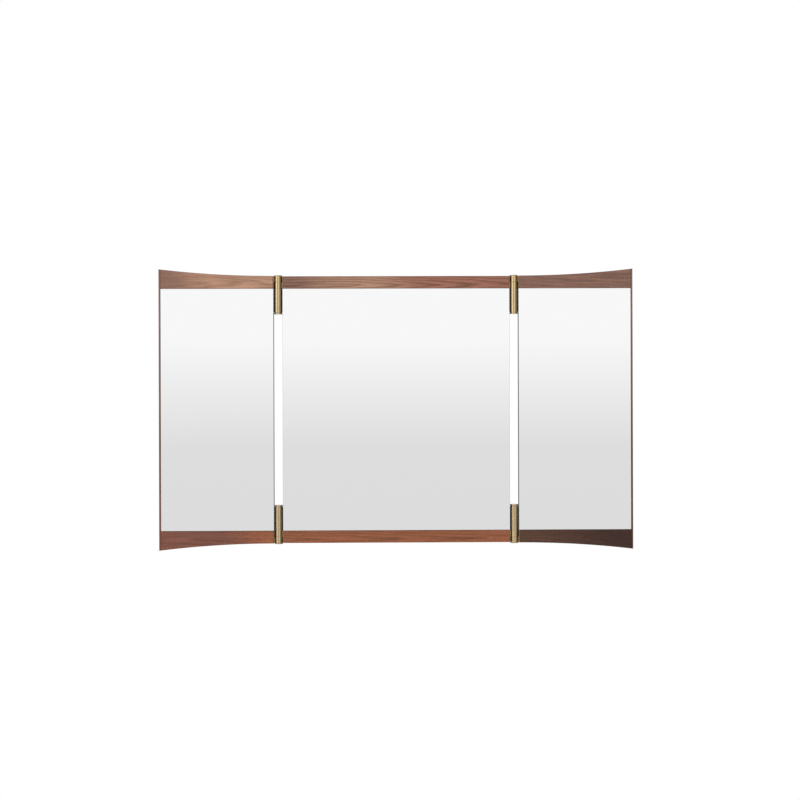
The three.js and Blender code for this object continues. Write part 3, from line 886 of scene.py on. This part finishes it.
# %% Hinge leaves
def knuckle_ring(low, high, spigot=False):
    """A knuckle's profile, with the spigot that the sleeve slides over under the centre one."""
    points = [(BORE, low), (BARREL, low), (BARREL, high), (BORE, high)]
    if spigot:
        points = [(BORE, SPIGOT_END), (SPIGOT, SPIGOT_END), (SPIGOT, low)] + points[1:]
    bm = spun(points + points[:1])
    ease_edges(bm, 0.1, limit=math.radians(50))
    return bm


def leaf_shape(low, high, plate_top, spigot=False):
    """A leaf towards +X in the hinge's own frame. Its turned faces take finish 0, its flat ones 1."""
    plate = mm_block(PLATE_X, PLATE_Y, (0, plate_top), PLATE_EASE)
    web = mm_block(WEB_X, WEB_Y, (low + FIT, high - FIT), 0.1)
    flange = mm_block((FLANGE_START, FLANGE_REACH), FLANGE_Y, FLANGE_Z, PLATE_EASE)
    flat = [plate, web, flange]
    for bm in flat:
        for face in bm.faces:
            face.material_index = 1
    joined = combined(knuckle_ring(low, high, spigot), flat)
    holes = []
    for x in SCREW_X:
        hole = spun(HOLE_PROFILE, SMALL_SEGMENTS)
        holes.append(put(hole, pointing_back(x * MM, FLANGE_Y[0] * MM, SCREW_Z * MM)))
    return combined(joined, holes, "DIFFERENCE")


def add_leaf(row, side, kind):
    spans = {"wing": (*WING_KNUCKLE, 31.2, False), "center": (0.0, CENTER_KNUCKLE_TOP, 30.2, True)}
    bm = leaf_shape(*spans[kind])
    toward = Matrix.Diagonal((-1, 1, 1, 1)) if kind == "wing" else Matrix.Identity(4)
    put(bm, hinge_place(row, side) @ toward)
    body = f"{side}_wing" if kind == "wing" else CENTER
    name = f"hinge_{row}_{side}_{kind}_leaf"
    return finish_piece(bm, name + "_brass", body, [turned_brass[side], brushed_brass], [name])


for row in LEVELS:
    for side in SIDES:
        leaves = [add_leaf(row, side, kind) for kind in ("wing", "center")]
        print(row, side, "leaf faces", [len(leaf.data.polygons) for leaf in leaves])

# %% [markdown]
# ## Pins, washers, sleeves and caps
# The pin's head closes the outer end of the barrel. The sleeve is a plain tube over the springs, and
# its cap is a turned button with a narrow dark groove behind it.

# %% Turned pieces of the barrels
# Each piece's profile of (radius, height), how far its edges are eased, and its finish.
TURNED = {
    "pin": ([(0, -25), (5, -25), (5, 30.95), (BARREL, 30.95), (BARREL, 33.2), (0, 33.2)], 0.5, "brass"),
    "friction_washer": ([(BORE, 15.55), (10.4, 15.55), (10.4, 17.05), (BORE, 17.05), (BORE, 15.55)],
                        0.06, "bronze"),
    "sleeve": ([(9, -59.5), (BARREL, -59.5), (BARREL, -0.05), (9, -0.05), (9, -59.5)], 0.1, "brass"),
    "end_cap": ([(0, -64), (BARREL, -64), (BARREL, -61.6), (9.3, -61.6), (9.3, -59.8), (8.7, -59.8),
                 (8.7, -53.8), (0, -53.8)], 0.35, "brass"),
}


def turned_piece(row, side, kind):
    profile, ease, slot = TURNED[kind]
    bm = spun(profile)
    ease_edges(bm, ease, segments=3, limit=math.radians(50))
    put(bm, hinge_place(row, side))
    name = f"hinge_{row}_{side}_{kind}"
    riding = body_of(frame["nodes"][name])[0]
    finish = bronze if slot == "bronze" else turned_brass[side]
    return finish_piece(bm, f"{name}_{slot}", riding, [finish], [name])


for row in LEVELS:
    for side in SIDES:
        for kind in TURNED:
            made = turned_piece(row, side, kind)

# %% [markdown]
# ## Screws
# Two countersunk wood screws hold each flange to the back of its rail, and three pan-head screws hold
# the mirror cleat to the board. The head's profile is spun, and a cross recess is cut into it with two
# tapered blades.

# %% Screws
BLADE = 0.45
BLADE_ABOVE = 0.5
RECESS_DEPTH = 1.3
PAN_HEIGHT = 2.2


def cross_recess(top, reach):
    """Two crossed wedges, to be cut from a head whose top is at Z = top."""
    blades = []
    for angle in (0, math.pi / 2):
        bm = block((-reach * MM, -BLADE * MM, (top - RECESS_DEPTH) * MM),
                   (reach * MM, BLADE * MM, (top + BLADE_ABOVE) * MM))
        for vertex in bm.verts:
            if vertex.co.z < (top - RECESS_DEPTH / 2) * MM:
                vertex.co.x *= 0.4
                vertex.co.y *= 0.7
        blades.append(put(bm, Matrix.Rotation(angle, 4, "Z")))
    return blades


def countersunk_screw():
    """Its head is flush at Z = 0 and its point is down."""
    bm = spun([(0, -14), (1.3, -11.5), (1.5, -2.6), (1.9, -2.0), (3.85, -0.08), (3.85, 0), (0, 0)],
              SMALL_SEGMENTS)
    return combined(bm, cross_recess(0, 2.2), "DIFFERENCE")


def pan_head_screw():
    """The underside of its head is at Z = 0 and its point is down."""
    bm = spun([(0, -14), (1.9, -11), (1.9, 0), (4.0, 0), (4.0, 0.9), (3.7, 1.5), (3.0, 2.0),
               (1.8, PAN_HEIGHT), (0, PAN_HEIGHT)], SMALL_SEGMENTS)
    return combined(bm, cross_recess(PAN_HEIGHT, 2.0), "DIFFERENCE")


SCREW_SUNK = 0.05
SCREW_TURN = 0.7
leaf_screw = as_object(countersunk_screw(), "leaf_screw_shape")
turns = 0
for row in LEVELS:
    for side in SIDES:
        for kind, sign in (("wing", -1), ("center", 1)):
            for number, x in enumerate(SCREW_X, start=1):
                bm = bmesh.new()
                bm.from_mesh(leaf_screw.data)
                local = Vector((sign * x * MM, (FLANGE_Y[1] - SCREW_SUNK) * MM, SCREW_Z * MM))
                spot = hinge_place(row, side) @ local
                put(bm, pointing_back(*spot, spin=SCREW_TURN * turns))
                body = f"{side}_wing" if kind == "wing" else CENTER
                name = f"hinge_{row}_{side}_{kind}_screw_{number}"
                finish_piece(bm, name, body, [brushed_brass])
                turns += 1
bpy.data.objects.remove(leaf_screw)
for number, place in enumerate(("left", "middle", "right")):
    name = f"cleat_screw_{place}"
    low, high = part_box(name)
    middle = (low + high) / 2
    under_head = high.y - PAN_HEIGHT * MM
    bm = put(pan_head_screw(), pointing_back(middle.x, under_head, middle.z, spin=0.5 + number))
    finish_piece(bm, name + "_steel", CENTER, [zinc_steel], [name])
print("leaf screws", turns)

# %% [markdown]
# ## Hanging cleats and bumpers
# The two cleats are bent from 2 mm aluminium and interlock. Their outlines are already right in the
# frame, so each new piece starts from a merged copy of it, its flat faces dissolved back into whole
# ones, and then gets eased edges. The bumpers are soft rubber, so theirs are rounder.

# %% Cleats and bumpers
def copied_shape(node_name):
    bm = bmesh.new()
    bm.from_mesh(frame["nodes"][node_name].data)
    bmesh.ops.remove_doubles(bm, verts=bm.verts, dist=1e-6)
    bmesh.ops.dissolve_limit(bm, angle_limit=math.radians(1), verts=bm.verts, edges=bm.edges)
    return bm


for name in ("wall_cleat", "mirror_cleat"):
    bm = copied_shape(name)
    ease_edges(bm, 0.3, limit=math.radians(60))
    finish_piece(bm, name + "_aluminium", CENTER, [mill_aluminium], [name])

BUMPER_PROFILE = [(0, 0), (9.6, 0), (10, 0.5), (9.1, 5.6), (8.7, 7.6), (7.6, 8.4), (4.0, 8.4),
                  (3.2, 7.6), (0, 7.6)]
for side in SIDES:
    name = f"bumper_{side}"
    low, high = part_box(name)
    middle = (low + high) / 2
    bm = spun(BUMPER_PROFILE, 64)
    ease_edges(bm, 0.3, limit=math.radians(25))
    put(bm, pointing_back(middle.x, low.y, middle.z))
    finish_piece(bm, name + "_rubber", CENTER, [rubber], [name])

# %% [markdown]
# ## Springs and nuts
# These lie out of sight inside the sleeves, and the frame's own shapes are right, so those stay and
# only get a better finish.

# %% Springs and nuts
kept_names = [name for name in frame["nodes"] if name.endswith(("disc_springs", "lock_nut"))]
for name in kept_names:
    frame["nodes"][name].material_slots[0].material = zinc_steel
print("kept nodes", len(kept_names))

# %% [markdown]
# ## Floor
# A pale, matt studio floor lies well below the mirror. A lamp of its own, which lights nothing else,
# keeps it as pale as the studio beyond its rim.

# %% Floor
FLOOR_LEVEL = -1.9
FLOOR_RADIUS = 5.0
FLOOR_MIDDLE = -3.2
FLOOR_WATTS = 190


def floor_paint():
    made, tree, shader = material("floor_paint")
    cloud = noise(tree, object_place(tree), scale=2.5, detail=5)
    link(tree, ramp(tree, cloud.outputs["Fac"], [(0.3, 0.84), (0.7, 0.90)]), shader.inputs["Base Color"])
    link(tree, spread(tree, cloud.outputs["Fac"], 0.3, 0.7, 0.6, 0.75), shader.inputs["Roughness"])
    return made


bm = bmesh.new()
bmesh.ops.create_circle(bm, cap_ends=True, segments=128, radius=FLOOR_RADIUS)
bmesh.ops.translate(bm, verts=bm.verts, vec=(0, FLOOR_MIDDLE, FLOOR_LEVEL))
floor = as_object(bm, "floor")
floor.data.materials.append(floor_paint())
floor_only = bpy.data.collections.new("floor_only")
floor_only.objects.link(floor)
overhead = softbox("softbox_floor", (0, FLOOR_MIDDLE, 2.4), (6.0, 6.0), FLOOR_WATTS,
                   (0, FLOOR_MIDDLE, FLOOR_LEVEL))
overhead.light_linking.receiver_collection = floor_only
print("floor at", FLOOR_LEVEL)
